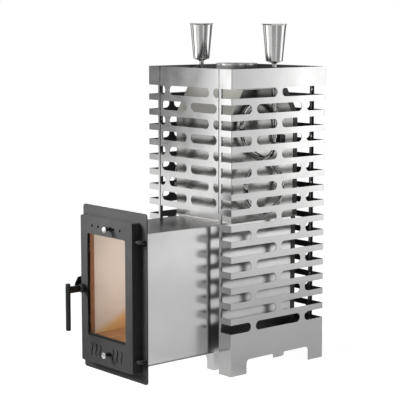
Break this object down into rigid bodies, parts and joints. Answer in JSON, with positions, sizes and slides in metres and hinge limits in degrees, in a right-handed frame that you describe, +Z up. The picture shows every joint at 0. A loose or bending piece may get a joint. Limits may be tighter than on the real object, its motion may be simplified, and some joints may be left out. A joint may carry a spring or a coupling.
{
  "type": "sauna heater stove",
  "caption": "Wood-fired sauna stove: slotted steel cage round a firebox, heater body and looped steam tubes with water cups, and a glazed door on a fuel channel.",
  "frame": {"origin": "on the floor, at the middle of the bounding box seen from above", "axes": "+Z up; the door faces -Y; +X is the door's hinge side"},
  "size_m": [0.44, 0.825, 1.12],
  "materials": {
    "cage_steel": "brushed stainless sheet, satin, bright cut edges",
    "firebox_steel": "brushed stainless plate, satin",
    "body_steel": "brushed stainless sheet, a little warm",
    "lip_steel": "bright cut plate",
    "shield_steel": "dark heat-tinted steel",
    "steam_chrome": "polished stainless tube",
    "door_paint": "dark grey fine-textured matt powder coat",
    "black_fittings": "black matt heat-proof coat",
    "knob_chrome": "polished",
    "door_glass": "amber heat-proof ceramic glass",
    "rope": "woven glass rope",
    "seal_tape": "flat woven glass tape",
    "grate_iron": "rough cast iron",
    "hearth_steel": "scaled mild steel plate",
    "hardware": "zinc-plated hardware"
  },
  "bodies": {
    "stove": {"cage_right": "cage_steel", "cage_left": "cage_steel", "cage_front": "cage_steel", "cage_back": "cage_steel", "cage_rivets": "hardware", "base_rail": "cage_steel", "stand_front": "firebox_steel", "stand_rear": "firebox_steel", "firebox": "firebox_steel", "fuel_channel": "firebox_steel", "hearth_plate": "hearth_steel", "grate": "grate_iron", "ash_drawer": "hardware", "lip_plate": "lip_steel", "heater_body": "body_steel", "firebox_shield": "shield_steel", "body_shield": "shield_steel", "smoke_baffle": "shield_steel", "flue_collar": "steam_chrome", "steam_tube_right": "steam_chrome", "steam_tube_left": "steam_chrome", "steam_coil_right": "steam_chrome", "steam_coil_left": "steam_chrome", "coil_socket_right": "shield_steel", "coil_socket_left": "shield_steel", "cup_right": "steam_chrome", "cup_left": "steam_chrome", "union_nuts": "steam_chrome", "couplings": "steam_chrome", "tube_clips": "black_fittings", "door_plate": "door_paint", "hinge_lugs": "black_fittings", "hinge_pins": "black_fittings", "latch_keeper": "black_fittings"},
    "door": {"door_leaf": "door_paint", "leaf_frame": "hearth_steel", "window_liners": "hearth_steel", "door_glass": "door_glass", "glass_seal": "seal_tape", "glass_clips": "hardware", "clip_screws": "hardware", "door_gasket": "rope", "hinge_knuckles": "black_fittings", "handle_bush": "hardware", "upper_guides": "hardware", "lower_guides": "hardware"},
    "handle": {"handle_shaft": "black_fittings", "handle_boss": "black_fittings", "handle_arm": "black_fittings", "handle_grip": "black_fittings", "latch_tongue": "black_fittings", "shaft_nut": "hardware"},
    "upper_air_slider": {"upper_slider": "black_fittings", "upper_knob_stem": "black_fittings", "upper_knob": "knob_chrome"},
    "lower_air_slider": {"lower_slider": "black_fittings", "lower_knob_stem": "black_fittings", "lower_knob": "knob_chrome"}
  },
  "joints": [
    {"name": "door_swing", "type": "hinge", "parent": "stove", "child": "door", "pos_m": [0.15, -0.3245, 0.286], "axis": [0, 0, 1], "range_deg": [0, 120]},
    {"name": "handle_turn", "type": "hinge", "parent": "door", "child": "handle", "pos_m": [-0.1145, -0.3395, 0.287], "axis": [0, 1, 0], "range_deg": [0, 90]},
    {"name": "upper_air", "type": "slide", "parent": "door", "child": "upper_air_slider", "axis": [1, 0, 0], "range_m": [-0.024, 0]},
    {"name": "lower_air", "type": "slide", "parent": "door", "child": "lower_air_slider", "axis": [1, 0, 0], "range_m": [-0.016, 0.008]}
  ]
}
